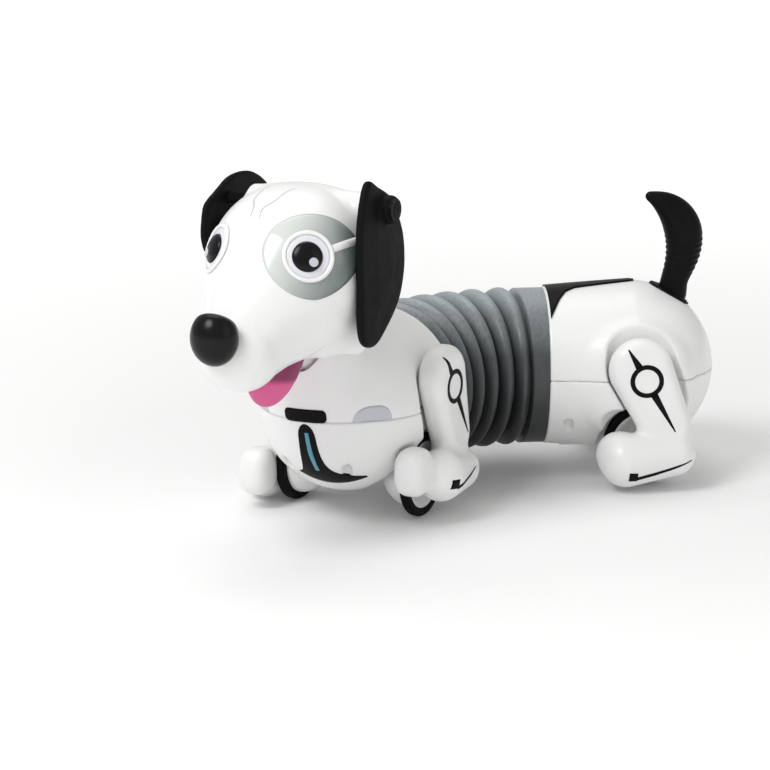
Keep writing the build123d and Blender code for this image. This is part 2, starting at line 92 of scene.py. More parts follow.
def cut(a, b, k):
    """The first shape less the second."""
    return overlap(a, -b, k)


def turned(p, centre, axis, degrees):
    """The points as seen from a centre, turned about one axis."""
    q = p - np.array(centre, float)
    i, j = [(1, 2), (2, 0), (0, 1)][axis]
    c, s = math.cos(math.radians(degrees)), math.sin(math.radians(degrees))
    out = q.copy()
    out[:, i] = q[:, i] * c + q[:, j] * s
    out[:, j] = -q[:, i] * s + q[:, j] * c
    return out


def egg(p, centre, radii):
    q, r = p - np.array(centre, float), np.array(radii, float)
    near = np.sqrt(((q / r) ** 2).sum(1))
    slope = np.sqrt(((q / r**2) ** 2).sum(1)) + 1e-9
    return near * (near - 1) / slope


def pebble(p, centre, radii, power):
    """An egg that grows squarer as the power rises above 2."""
    q = np.abs(p - np.array(centre, float)) / np.array(radii, float)
    return ((q**power).sum(1) ** (1 / power) - 1) * min(radii)


def rod(p, a, b, r_a, r_b):
    """A round bar whose radius goes from r_a to r_b, with ball ends."""
    a, b = np.array(a, float), np.array(b, float)
    t = np.clip(((p - a) @ (b - a)) / ((b - a) @ (b - a)), 0, 1)
    return np.linalg.norm(p - a - t[:, None] * (b - a), axis=1) - (r_a + (r_b - r_a) * t)


def rounded(d_first, d_second, r):
    """Shared part of two crossing slabs, with an edge radius r."""
    d = np.maximum(np.stack([d_first + r, d_second + r]), 0)
    return np.sqrt((d**2).sum(0)) - r + np.minimum(np.maximum(d_first + r, d_second + r), 0)


def lobe_2d(x, z, first, second):
    """Distance to the flat shape that wraps two circles, each an x, z and radius."""
    a, b = np.array(first[:2]), np.array(second[:2])
    q, run = np.stack([x, z], 1) - a, b - a
    t = np.clip((q @ run) / (run @ run), 0, 1)
    return np.linalg.norm(q - t[:, None] * run, axis=1) - (first[2] + (second[2] - first[2]) * t)


def drum_y(p, x, z, radius, y_low, y_high, r):
    """A rounded disc that lies across the body."""
    middle, half = (y_low + y_high) / 2, abs(y_high - y_low) / 2
    flat = np.hypot(p[:, 0] - x, p[:, 2] - z) - radius
    return rounded(flat, np.abs(p[:, 1] - middle) - half, r)


def both_sides(p):
    """The points folded onto the left side, so that a shape there appears on both sides."""
    q = np.array(p, float)
    q[:, 1] = np.abs(q[:, 1])
    return q


# ------------------------ the toy's shapes

def chest(p):
    """The front half's body with the neck that rises from it."""
    x = p[:, 0]
    body = overlap(rod(p, (46, 0, AXIS_Z), (74, 0, AXIS_Z), 34.0, 34.5), RIM_X - x, 0.8)
    neck = rod(p, (90, 0, 62), (107, 0, 85), 21, 15.5)
    return join(body, neck, 12)


def rump(p):
    """The rear half's body with its haunches."""
    body = rod(p, (-48, 0, AXIS_Z), (-82.1, 0, AXIS_Z), 32.8, 35.5)
    q = both_sides(p)
    haunch = egg(turned(q, (-83, 28, 42), 1, 12), (0, 0, 0), (22, 9.5, 25))
    return overlap(join(body, haunch, 5), p[:, 0] + RIM_X, 0.8)


def wheel_wells(p, axle_x):
    q = both_sides(p)
    return drum_y(q, axle_x, WHEEL_R, WHEEL_R + 1.6, 10, 60, 1.0)


def skull(p):
    """The head without its jaw and ear bosses."""
    crown = pebble(p, (111, 0, 105), (31, 31.5, 30.5), 2.3)
    muzzle = rod(p, (128, 0, 97), (155, 0, 81), 25, 15.5)
    return join(crown, muzzle, 14)


def neck_room(p):
    """The space under the head that the neck needs as the head turns and nods."""
    return rod(p, (88, 0, 59), (110, 0, 89), 27.5, 22.0)


# ------------------------ meshes from fields

def slope_of(field, p, h=0.02):
    steps = np.eye(3) * h
    return np.stack([field(p + s) - field(p - s) for s in steps], 1) / (2 * h)


def settle(field, p, rounds=3):
    """Moves points straight onto the field's surface."""
    for _ in range(rounds):
        slope = slope_of(field, p)
        p = p - field(p)[:, None] * slope / ((slope**2).sum(1)[:, None] + 1e-6)
    return p


def grid_values(field, axes, step):
    """The field over a grid, worked out finely only near its surface."""
    block = 4
    shape = [len(a) for a in axes]
    blocks = [-(-n // block) for n in shape]
    centres = [axes[i][0] + step * (np.arange(blocks[i]) * block + (block - 1) / 2) for i in range(3)]
    coarse = field(np.stack(np.meshgrid(*centres, indexing="ij"), -1).reshape(-1, 3)).reshape(blocks)
    values = coarse.repeat(block, 0).repeat(block, 1).repeat(block, 2)
    values = values[: shape[0], : shape[1], : shape[2]].astype(np.float64)
    near = np.nonzero(np.abs(values) < step * block * 1.6)
    points = np.stack([axes[i][near[i]] for i in range(3)], 1)
    values[near] = np.concatenate([field(part) for part in np.array_split(points, len(points) // 400000 + 1)])
    return values


def skin(field, low, high, step, smooth=3):
    """Vertices and quads over the surface where a field is 0."""
    low, high = np.array(low, float), np.array(high, float)
    axes = [np.arange(low[i], high[i] + step, step) for i in range(3)]
    values = grid_values(field, axes, step)
    inside = values < 0
    cells = [n - 1 for n in values.shape]
    total, count, crossings = np.zeros([*cells, 3], np.float32), np.zeros(cells, np.uint8), []
    for axis in range(3):
        first = [slice(None)] * 3
        second = [slice(None)] * 3
        first[axis], second[axis] = slice(None, -1), slice(1, None)
        a, b = values[tuple(first)], values[tuple(second)]
        crossed = inside[tuple(first)] != inside[tuple(second)]
        crossings.append(crossed)
        at = np.zeros([*a.shape, 3], np.float32)
        where = np.nonzero(crossed)
        spots = np.stack(where, 1).astype(np.float32)
        spots[:, axis] += a[where] / (a[where] - b[where])
        at[where] = spots
        others = [i for i in range(3) if i != axis]
        for di in (0, 1):
            for dj in (0, 1):
                part = [slice(None)] * 3
                part[others[0]] = slice(di, cells[others[0]] + di)
                part[others[1]] = slice(dj, cells[others[1]] + dj)
                total += at[tuple(part)]
                count += crossed[tuple(part)]
    used = count > 0
    numbers = np.full(cells, -1, np.int64)
    numbers[used] = np.arange(used.sum())
    points = low + step * total[used] / count[used][:, None]
    quads = []
    for axis in range(3):
        i, j = [(1, 2), (2, 0), (0, 1)][axis]
        part = [slice(None)] * 3
        part[i], part[j] = slice(1, -1), slice(1, -1)
        found = np.stack(np.nonzero(crossings[axis][tuple(part)]), 1)
        found[:, i] += 1
        found[:, j] += 1
        corners = []
        for di, dj in ((-1, -1), (0, -1), (0, 0), (-1, 0)):
            c = found.copy()
            c[:, i] += di
            c[:, j] += dj
            corners.append(numbers[c[:, 0], c[:, 1], c[:, 2]])
        ring = np.stack(corners, 1)
        outward = inside[found[:, 0], found[:, 1], found[:, 2]]
        ring[~outward] = ring[~outward][:, ::-1]
        quads.append(ring)
    quads = np.concatenate(quads)
    for _ in range(smooth):
        points = settle(field, relax(points, quads, field), 1)
    return settle(field, points, 2), quads


def relax(points, quads, field):
    """Evens out the quads by moving vertices along the surface."""
    total, count = np.zeros_like(points), np.zeros(len(points))
    for k in range(4):
        np.add.at(total, quads[:, k], points[quads[:, (k + 1) % 4]] + points[quads[:, (k + 3) % 4]])
        np.add.at(count, quads[:, k], 2)
    move = total / count[:, None] - points
    normal = slope_of(field, points)
    normal /= np.linalg.norm(normal, axis=1)[:, None] + 1e-9
    return points + 0.5 * (move - (move * normal).sum(1)[:, None] * normal)


# ------------------------ pieces

def piece(name, half, body, points, faces, material, slot=None, replaces=()):
    """One finished piece of the toy: a mesh given in a half's frame, riding on a body."""
    mesh = bpy.data.meshes.new(name)
    mesh.from_pydata(np.asarray(points, float).tolist(), [], np.asarray(faces).tolist())
    mesh.transform(HALVES[half])
    mesh.update()
    mesh.polygons.foreach_set("use_smooth", [True] * len(mesh.polygons))
    mesh.materials.append(material)
    made = bpy.data.objects.new(name, mesh)
    bpy.context.scene.collection.objects.link(made)
    if body:
        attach(made, body)
    if replaces:
        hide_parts(*replaces)
    return made


def sculpt(name, half, body, field, low, high, step, material, slot, replaces=()):
    """A piece whose surface is where a field is 0."""
    return piece(name, half, body, *skin(field, low, high, step), material, slot, replaces)


def grid_faces(rows, columns, closed_columns=False, closed_rows=False):
    """Quads over a grid of points kept row by row."""
    last_row = rows if closed_rows else rows - 1
    last_column = columns if closed_columns else columns - 1
    faces = []
    for r in range(last_row):
        for c in range(last_column):
            r2, c2 = (r + 1) % rows, (c + 1) % columns
            faces.append((r * columns + c, r * columns + c2, r2 * columns + c2, r2 * columns + c))
    return faces


def lathe(profile, centre, axis, turns=96):
    """A turned shape. The profile is a list of (along, radius); it closes on itself if both ends match."""
    closed = profile[0] == profile[-1]
    outline = profile[:-1] if closed else profile
    along, across, up = [np.eye(3)[(axis + k) % 3] for k in range(3)]
    points = []
    for t in np.linspace(0, 2 * math.pi, turns, endpoint=False):
        ring = across * math.cos(t) + up * math.sin(t)
        points += [np.array(centre) + along * a + ring * r for a, r in outline]
    faces = grid_faces(turns, len(outline), closed_columns=closed, closed_rows=True)
    return np.array(points), faces


def arc(centre, radius, start, end, count):
    """Points of a profile's round corner, in degrees."""
    turns = np.radians(np.linspace(start, end, count))
    return [(centre[0] + radius * math.cos(t), centre[1] + radius * math.sin(t)) for t in turns]


def dropped(field, points, way, lift):
    """Points slid along a direction until they meet a surface, then lifted off it."""
    way = np.array(way, float) / np.linalg.norm(way)
    p = np.array(points, float)
    for _ in range(60):
        p = p + np.clip(field(p) * 0.9, -4, 4)[:, None] * way
    normal = slope_of(field, p)
    return p + normal / np.linalg.norm(normal, axis=1)[:, None] * lift


def mend(made, weld, away_from=None):
    """Welds vertices nearer than weld metres and makes the faces agree, turned back from a direction."""
    bm = bmesh.new()
    bm.from_mesh(made.data)
    if weld:
        bmesh.ops.remove_doubles(bm, verts=bm.verts, dist=weld)
    bmesh.ops.recalc_face_normals(bm, faces=bm.faces)
    if away_from and sum(f.normal.dot(away_from) * f.calc_area() for f in bm.faces) > 0:
        bmesh.ops.reverse_faces(bm, faces=bm.faces)
    bm.to_mesh(made.data)
    bm.free()


def face_out(made, half, way):
    """Turns a sheet's faces to look back against a direction given in a half's frame."""
    mend(made, 1e-7, HALVES[half].to_3x3() @ Vector(way))


def mark(name, half, body, field, rows, way, material, lift=0.12, thick=0.3, closed=False, **more):
    """A printed, thin moulded or painted-shade mark that hugs a surface; rows is a grid of points."""
    rows = np.array(rows, float)
    flat = dropped(field, rows.reshape(-1, 3), way, lift)
    made = piece(name, half, body, flat, grid_faces(*rows.shape[:2], closed_rows=closed), material, **more)
    face_out(made, half, way)
    made.data.polygons.foreach_set("use_smooth", [True] * len(made.data.polygons))
    solid = made.modifiers.new("thickness", "SOLIDIFY")
    solid.thickness, solid.offset = thick * MM, -1
    return made


def on_plane(origin, across, up):
    """A function from two flat coordinates to a point in a half's frame."""
    o, a, u = (np.array(v, float) for v in (origin, across, up))
    return lambda s, t: o + a * s + u * t


def stroke(plane, path, widths, across=5, count=48):
    """A brush stroke: a smooth line through a few flat points, with its own width at each."""
    path, widths = np.array(path, float), np.array(widths, float)
    given = np.linspace(0, 1, len(path))
    t = np.linspace(0, 1, count)
    line = np.stack([np.interp(t, given, path[:, k]) for k in (0, 1)], 1)
    if len(path) > 2:
        for _ in range(count // 6):
            line[1:-1] = 0.5 * line[1:-1] + 0.25 * (line[:-2] + line[2:])
    run = np.gradient(line, axis=0)
    side = np.stack([-run[:, 1], run[:, 0]], 1) / np.linalg.norm(run, axis=1)[:, None]
    w = np.interp(t, given, widths)[:, None] / 2
    steps = np.linspace(-1, 1, across)
    return [[plane(*(line[i] + side[i] * w[i] * s)) for s in steps] for i in range(count)]


def band(plane, centre, r_in, r_out, count=72, across=5):
    """A flat ring."""
    rows = []
    for t in np.linspace(0, 2 * math.pi, count, endpoint=False):
        radii = np.linspace(r_in, r_out, across)
        rows.append([plane(centre[0] + r * math.cos(t), centre[1] + r * math.sin(t)) for r in radii])
    return rows


def disc_rows(plane, centre, radius):
    """A filled circle."""
    return band(plane, centre, 0.02 * radius, radius, across=14)


def smooth_loop(points, steps=8):
    """A smooth closed outline through a few flat points."""
    p = np.array(points, float)
    before, after, beyond = np.roll(p, 1, 0), np.roll(p, -1, 0), np.roll(p, -2, 0)
    out = []
    for t in np.linspace(0, 1, steps, endpoint=False):
        a = 2 * p + (after - before) * t
        b = (2 * before - 5 * p + 4 * after - beyond) * t**2
        c = (-before + 3 * p - 3 * after + beyond) * t**3
        out.append(0.5 * (a + b + c))
    return np.stack(out, 1).reshape(-1, 2)


def loop_distance(x, z, loop):
    """Signed distance in a plane to a closed outline."""
    q, ends = np.stack([x, z], 1), np.roll(loop, -1, 0)
    best, inside = np.full(len(q), 1e9), np.zeros(len(q), bool)
    for a, b in zip(loop, ends):
        run, away = b - a, q - a
        t = np.clip((away @ run) / (run @ run), 0, 1)
        best = np.minimum(best, ((away - t[:, None] * run) ** 2).sum(1))
        spans = (a[1] > q[:, 1]) != (b[1] > q[:, 1])
        reach = a[0] + (q[:, 1] - a[1]) * run[0] / (run[1] if abs(run[1]) > 1e-9 else 1e-9)
        inside ^= spans & (q[:, 0] < reach)
    return np.where(inside, -1, 1) * np.sqrt(best)


# ------------------------ materials

def socket(node, name, value):
    node.inputs[name].default_value = value


def plastic(name, dark, light, rough, coat=0.0, patch=40, grain=2600, bump=0.02, subsurface=0.0, gleam=0.5):
    """Moulded plastic or rubber: a faint colour drift, uneven gloss, a fine grain, and soft flow marks."""
    made = bpy.data.materials.new(name)
    made.use_nodes = True
    nodes, links = made.node_tree.nodes, made.node_tree.links
    shader = nodes["Principled BSDF"]
    place = nodes.new("ShaderNodeTexCoord")
    drift, fine, flow = (nodes.new("ShaderNodeTexNoise") for _ in range(3))
    for noise, scale, detail in ((drift, patch, 3), (fine, grain, 2), (flow, patch * 6, 2)):
        socket(noise, "Scale", scale)
        socket(noise, "Detail", detail)
        links.new(place.outputs["Object"], noise.inputs["Vector"])
    tint = nodes.new("ShaderNodeMix")
    tint.data_type = "RGBA"
    socket(tint, "A", (*dark, 1))
    socket(tint, "B", (*light, 1))
    links.new(drift.outputs["Fac"], tint.inputs["Factor"])
    links.new(tint.outputs["Result"], shader.inputs["Base Color"])
    gloss = nodes.new("ShaderNodeMapRange")
    socket(gloss, "To Min", rough * 0.8)
    socket(gloss, "To Max", rough * 1.25)
    links.new(flow.outputs["Fac"], gloss.inputs["Value"])
    links.new(gloss.outputs["Result"], shader.inputs["Roughness"])
    height = nodes.new("ShaderNodeBump")
    socket(height, "Strength", 0.5)
    socket(height, "Distance", bump * MM)
    links.new(fine.outputs["Fac"], height.inputs["Height"])
    links.new(height.outputs["Normal"], shader.inputs["Normal"])
    socket(shader, "Coat Weight", coat)
    socket(shader, "Specular IOR Level", gleam)
    socket(shader, "Coat Roughness", 0.12)
    if subsurface:
        socket(shader, "Subsurface Weight", subsurface)
        socket(shader, "Subsurface Radius", (0.004, 0.004, 0.004))
    return made


def graded(name, half, start, end, colours, rough):
    """A colour that fades along a line across the toy, given in a half's frame: a printed fade on the eye
    patch, and a painted shadow under the lip on the tongue.
    """
    made = plastic(name, colours[0], colours[1], rough, coat=0.2)
    nodes, links = made.node_tree.nodes, made.node_tree.links
    a, b = (HALVES[half] @ Vector(v) for v in (start, end))
    run = b - a
    place = next(n for n in nodes if n.type == "TEX_COORD")
    along = nodes.new("ShaderNodeVectorMath")
    along.operation = "DOT_PRODUCT"
    along.inputs[1].default_value = run / run.length_squared
    shift = nodes.new("ShaderNodeMath")
    shift.operation = "SUBTRACT"
    shift.inputs[1].default_value = a.dot(run) / run.length_squared
    ramp = nodes.new("ShaderNodeValToRGB")
    ramp.color_ramp.interpolation = "EASE"
    ramp.color_ramp.elements[0].color = (*colours[0], 1)
    ramp.color_ramp.elements[1].color = (*colours[1], 1)
    links.new(place.outputs["Object"], along.inputs[0])
    links.new(along.outputs["Value"], shift.inputs[0])
    links.new(shift.outputs["Value"], ramp.inputs["Fac"])
    speckle = next(n for n in nodes if n.type == "MIX")
    soften = nodes.new("ShaderNodeMix")
    soften.data_type = "RGBA"
    socket(soften, "Factor", 0.12)
    links.new(ramp.outputs["Color"], soften.inputs["A"])
    links.new(speckle.outputs["Result"], soften.inputs["B"])
    links.new(soften.outputs["Result"], nodes["Principled BSDF"].inputs["Base Color"])
    return made


WHITE = plastic("white_plastic", (0.82, 0.82, 0.82), (0.87, 0.87, 0.865), 0.38, coat=0.25, subsurface=0.06)
INK = ((0.004, 0.004, 0.0045), (0.008, 0.008, 0.009))
BLACK = plastic("black_plastic", *INK, 0.34, gleam=0.06)
NOSE_BLACK = plastic("nose_gloss", (0.003, 0.003, 0.004), (0.006, 0.006, 0.007), 0.24, gleam=0.2)
EAR_BLACK = plastic("ear_rubber", *INK, 0.5, grain=1800, bump=0.05, gleam=0.06)
TAIL_BLACK = plastic("tail_rubber", *INK, 0.36, grain=1800, bump=0.04, gleam=0.06)
TYRE = plastic("tyre_rubber", *INK, 0.55, grain=1200, bump=0.06, gleam=0.06)
PRINT = plastic("black_print", *INK, 0.3, gleam=0.06)
LILAC = plastic("lilac_print", (0.52, 0.53, 0.59), (0.58, 0.59, 0.64), 0.35, coat=0.2)
# Painted shade: a grey that stands for the shade inside the mouth crease and the forehead grooves.
GROOVE_SHADE = plastic("painted_groove_shade", (0.50, 0.51, 0.54), (0.58, 0.59, 0.61), 0.5)
EYE_WHITE = plastic("eye_white", (0.72, 0.72, 0.78), (0.80, 0.80, 0.84), 0.22, coat=0.5)
LENS = plastic("blue_lens", (0.03, 0.22, 0.34), (0.05, 0.30, 0.42), 0.2, coat=0.6)
STEEL = plastic("steel", (0.55, 0.55, 0.56), (0.68, 0.68, 0.69), 0.3, grain=900)
socket(STEEL.node_tree.nodes["Principled BSDF"], "Metallic", 1)
GREY = plastic("grey_plastic", (0.26, 0.26, 0.27), (0.33, 0.33, 0.34), 0.5, bump=0.05)
BOARD = plastic("solder_mask", (0.02, 0.16, 0.07), (0.04, 0.24, 0.11), 0.3, patch=300)
CELL = plastic("cell_sleeve", (0.30, 0.22, 0.06), (0.42, 0.32, 0.10), 0.3)


def bellows_rubber():
    """Silver-grey rubber with fine lines drawn round the tube by the mould; its colour is multiplied by the
    ridge attribute, which paints light on the tube's top and crests and paints shade on its underside and in
    its valleys.
    """
    dark, light = (0.075, 0.085, 0.09), (0.115, 0.128, 0.133)
    made = plastic("bellows_rubber", dark, light, 0.40, patch=60, grain=1500, bump=0.05)
    nodes, links = made.node_tree.nodes, made.node_tree.links
    socket(nodes["Principled BSDF"], "Sheen Weight", 0.12)
    socket(nodes["Principled BSDF"], "Sheen Roughness", 0.4)
    ridge = nodes.new("ShaderNodeAttribute")
    ridge.attribute_name = "ridge"
    stretch = nodes.new("ShaderNodeMapping")
    socket(stretch, "Scale", (900, 900, 40))
    streak = nodes.new("ShaderNodeTexNoise")
    socket(streak, "Scale", 1)
    socket(streak, "Detail", 4)
    place = next(n for n in nodes if n.type == "TEX_COORD")
    links.new(place.outputs["Object"], stretch.inputs["Vector"])
    links.new(stretch.outputs["Vector"], streak.inputs["Vector"])
    base = next(n for n in nodes if n.type == "MIX")
    # Painted light and shade: the base colour times the streaks and the ridge attribute, paler on top and on
    # the crests, darker underneath and in the valleys.
    streaks_and_painted_light = nodes.new("ShaderNodeMix")
    streaks_and_painted_light.data_type = "RGBA"
    streaks_and_painted_light.blend_type = "MULTIPLY"
    socket(streaks_and_painted_light, "Factor", 1)
    shade = nodes.new("ShaderNodeMapRange")
    socket(shade, "From Min", 0.3)
    socket(shade, "From Max", 0.7)
    socket(shade, "To Min", 0.82)
    socket(shade, "To Max", 1.12)
    valley = nodes.new("ShaderNodeMath")
    valley.operation = "MULTIPLY"
    links.new(streak.outputs["Fac"], shade.inputs["Value"])
    links.new(shade.outputs["Result"], valley.inputs[0])
    links.new(ridge.outputs["Fac"], valley.inputs[1])
    links.new(base.outputs["Result"], streaks_and_painted_light.inputs["A"])
    links.new(valley.outputs["Value"], streaks_and_painted_light.inputs["B"])
    links.new(streaks_and_painted_light.outputs["Result"], nodes["Principled BSDF"].inputs["Base Color"])
    return made


BELLOWS = bellows_rubber()

# ------------------------ body shells

FRONT_HIP, FRONT_ANKLE = (64.6, 56.3, 13.0), (57.5, 33.0, 10.0)
REAR_HIP, REAR_ANKLE = (-82.5, 50.0, 13.0), (-93.0, 27.0, 10.5)
LEG_IN_Y, LEG_OUT_Y = 31.0, 42.0
LEG_GAP = 0.8
FRONT_PIN, REAR_PIN = (63.0, 44.8), (-84.3, 46.5)  # x and lowest height of the legs' guide pins
SCREW_R = 2.0
BELLY_Z = 12.2
SWITCH_X = -92
TAIL_X, TAIL_HOLE_R = -100.5, 6.6


def thigh(p, hip, ankle):
    flat = lobe_2d(p[:, 0], p[:, 2], hip, ankle)
    return rounded(flat, np.abs(p[:, 1] - (LEG_IN_Y + LEG_OUT_Y) / 2) - (LEG_OUT_Y - LEG_IN_Y) / 2, 4.5)


def front_leg(p):
    outer = rod(p * np.array([1, 1.05, 1]), (71, 41.2, 19.2), (52.5, 39.6, 17.5), 10.3, 8.8)
    toe = pebble(p, (85.0, 34.6, 23.2), (7.9, 6.6, 9.4), 2.8)
    paw = join(outer, toe, 2.5)
    return join(thigh(p, FRONT_HIP, FRONT_ANKLE), paw, 4)


def rear_leg(p):
    outer = rod(p * np.array([1, 1.05, 1]), (-77.0, 42.0, 13.2), (-96.5, 40.5, 15.2), 10.9, 8.8)
    toe = egg(p, (-74.0, 37.4, 15.5), (9.0, 8.6, 9.0))
    paw = join(outer, toe, 2.5)
    return join(thigh(p, REAR_HIP, REAR_ANKLE), paw, 4)


def leg_room(p, leg, low, high):
    """The space that a half's two legs sweep as they lift, with clearance."""
    q = both_sides(p)
    room = leg(q - np.array([0, 0, low]))
    for lift in np.linspace(low, high, 5)[1:]:
        room = join(room, leg(q - np.array([0, 0, lift])), LEG_GAP)
    return room - LEG_GAP


def pin_slot(p, x, low):
    """The upright slot behind each leg that its guide pin slides in."""
    bar = lobe_2d(p[:, 0], p[:, 2], (x, low, 4.2), (x, low + STEP_UP, 4.2))
    return np.maximum(bar, 24 - np.abs(p[:, 1]))


def front_outside(p):
    body = chest(p)
    body = cut(body, wheel_wells(p, FRONT_AXLE_X), 0.8)
    body = cut(body, leg_room(p, front_leg, -STEP_UP, 0), 1.0)
    screw = np.hypot(p[:, 0] - 98, np.abs(p[:, 1]) - 12.6) - SCREW_R
    return cut(body, np.maximum(screw, p[:, 2] - 28.9), 0.4)


def rear_outside(p):
    body = overlap(rump(p), BELLY_Z - p[:, 2], 0.6)
    body = cut(body, wheel_wells(p, REAR_AXLE_X), 0.8)
    body = cut(body, leg_room(p, rear_leg, 0, STEP_UP), 1.0)
    screw = np.hypot(p[:, 0] + 54.5, np.abs(p[:, 1]) - 26.5) - SCREW_R
    return cut(body, np.maximum(screw, p[:, 2] - 30.4), 0.4)


def rim_opening(p):
    """The round opening that the bellows closes."""
    hole = np.hypot(p[:, 1], p[:, 2] - AXIS_Z) - (RIM_R - 0.9)
    return np.maximum(hole, np.abs(np.abs(p[:, 0]) - RIM_X) - 3.0)


def box(p, centre, half_size):
    """A plain block."""
    return np.max(np.abs(p - np.array(centre)) - np.array(half_size), axis=1)


def front_shell(p):
    outer = front_outside(p)
    wall = np.maximum(outer, -(outer + WALL))
    lower, upper = rod(p, (103, 0, 84), (103, 0, 130), 10, 10), rod(p, (103, 0, 105), (103, 0, 130), 15, 15)
    throat = np.minimum(lower, upper)
    gaps = np.minimum(np.minimum(throat, rim_opening(p)), pin_slot(p, *FRONT_PIN))
    return cut(wall, gaps, 0.4)


def rear_shell(p):
    outer = rear_outside(p)
    wall = np.maximum(outer, -(outer + WALL))
    door = box(p, (-65, 0, 13), (12, 9, 4))
    switch_slot = box(p, (SWITCH_X, 1.9, 13), (1.9, 4.6, 6))
    switch_plate_room = box(p, (SWITCH_X, 1.5, 17.2), (4.0, 4.6, 3.6))
    slot = np.minimum(switch_slot, switch_plate_room)
    socket_hole = np.maximum(np.hypot(p[:, 0] - TAIL_X, p[:, 1]) - TAIL_HOLE_R, 60 - p[:, 2])
    gaps = np.minimum(np.minimum(door, slot), np.minimum(rim_opening(p), pin_slot(p, *REAR_PIN)))
    return cut(wall, np.minimum(gaps, socket_hole), 0.3)


def halves_of(shell, low, high, step, names, body, replaced):
    """The upper and lower casting of a shell, with a fine parting line between them."""
    gap = 0.05
    upper = lambda p: overlap(shell(p), AXIS_Z + gap - p[:, 2], 0.15)
    lower = lambda p: overlap(shell(p), p[:, 2] - AXIS_Z + gap, 0.15)
    half = "front" if low[0] > 0 else "rear"
    for name, field, node, z_low, z_high in (
        (names[0], upper, replaced[0], AXIS_Z - 2, high[2]),
        (names[1], lower, replaced[1], low[2], AXIS_Z + 2),
    ):
        sculpt(name, half, body, field, (*low[:2], z_low), (*high[:2], z_high), step, WHITE,
               "white_plastic", [node])


SHELL_STEP = 0.8
halves_of(front_shell, (44, -38, 6), (114, 38, 106), SHELL_STEP, ("chest_upper", "chest_lower"),
          "front_body", ("front_upper_shell", "front_lower_shell"))
halves_of(rear_shell, (-120, -40, 6), (-44, 40, 84), SHELL_STEP, ("rump_upper", "rump_lower"),
          "rear_body", ("rear_upper_shell", "rear_lower_shell"))

# ------------------------ head

EYE = np.array([139.36, 18.96, 113.54])  # the left pupil's middle, on the skull


def head_outside(p):
    q = both_sides(p)
    jaw = rod(q, (117.0, 13, 79.2), (108, 18, 80), 7.2, 9.0)
    boss = drum_y(p, 108, 127.5, 6.0, -22, 31.4, 1.5)
    return join(join(skull(p), jaw, 4), boss, 3)


def head_shell(p):
    outer = head_outside(p)
    wall = np.maximum(outer, -(outer + WALL))
    return cut(wall, neck_room(p), 0.8)


SEAM_X = 106.0
HEAD_STEP = 0.7
for name, way, node in (("face", 1, "face_shell"), ("head_back", -1, "head_back_shell")):
    field = lambda p, w=way: overlap(head_shell(p), w * (SEAM_X - p[:, 0]) + 0.1, 0.3)
    x_low, x_high = (SEAM_X - 2, 176) if way > 0 else (76, SEAM_X + 2)
    sculpt(name, "front", "head", field, (x_low, -36, 60), (x_high, 36, 140), HEAD_STEP, WHITE,
           "white_plastic", [node])


def nose_shape(p):
    ball = egg(p, (172.6, 0, 88.4), (8.0, 8.9, 10.2))
    flat = (p - np.array([173, 0, 97.6])) @ np.array([-0.45, 0, 0.89])
    return overlap(ball, flat, 3)


sculpt("nose_tip", "front", "head", nose_shape, (161, -12, 75), (184, 12, 102), 0.5, NOSE_BLACK,
       "black_plastic", ["nose"])


def tongue_shape(p):
    leaf = egg(turned(p, (128.7, 0, 80.2), 1, 67), (0, 0, 0), (26.0, 13.0, 6.0))
    return overlap(leaf, p[:, 2] - 78, 1)


# Painted shadow: the tongue is dark magenta above, where the upper lip shades it, fading to bright pink
# below.
shaded_pink, pink = (0.19, 0.015, 0.075), (0.70, 0.10, 0.29)
TONGUE = graded("tongue_pink", "front", (134, 8, 67.5), (134, 8, 64.5), [shaded_pink, pink], 0.4)
sculpt("tongue_curl", "front", "head", tongue_shape, (106, -20, 50), (156, 20, 82), 0.7, TONGUE,
       "pink_plastic", ["tongue"])


def raised(name, rows, lift, way, material, slot, replaced=(), closed=True):
    """A piece that stands on the skull, its height given for each column of the rows."""
    rows = np.array(rows)
    heights = np.tile(lift, rows.shape[0])[:, None]
    base = dropped(skull, rows.reshape(-1, 3), way, 0)
    slope = slope_of(skull, base)
    top = base + slope / np.linalg.norm(slope, axis=1)[:, None] * heights
    faces = grid_faces(*rows.shape[:2], closed_rows=closed)
    made = piece(name, "front", "head", top, faces, material, slot, replaced)
    face_out(made, "front", way)
    solid = made.modifiers.new("thickness", "SOLIDIFY")
    solid.thickness, solid.offset = 0.3 * MM, -1
    return made


def outline_rows(plane, centre, loop, across=16):
    """A filled flat shape inside a closed outline."""
    centre = np.array(centre)
    steps = np.linspace(0.02, 1, across)
    return [[plane(*(centre + (corner - centre) * s)) for s in steps] for corner in np.array(loop)]


def patch_outline(count=102):
    """The oval round the eye: four quarter ovals, of which the lower one by the ear is flatter."""
    centre, front, ear, up, down = (2.0, 1.5), 17.8, 18.9, 14.9, 16.8
    points = []
    for t in np.linspace(0, 2 * math.pi, count, endpoint=False):
        c, s = math.cos(t), math.sin(t)
        power = 1.6 if c > 0 > s else 2.0
        reach, rise = abs(c) ** (2 / power), abs(s) ** (2 / power)
        points.append((centre[0] + (ear * reach if c > 0 else -front * reach),
                       centre[1] + (up * rise if s > 0 else -down * rise)))
    return points


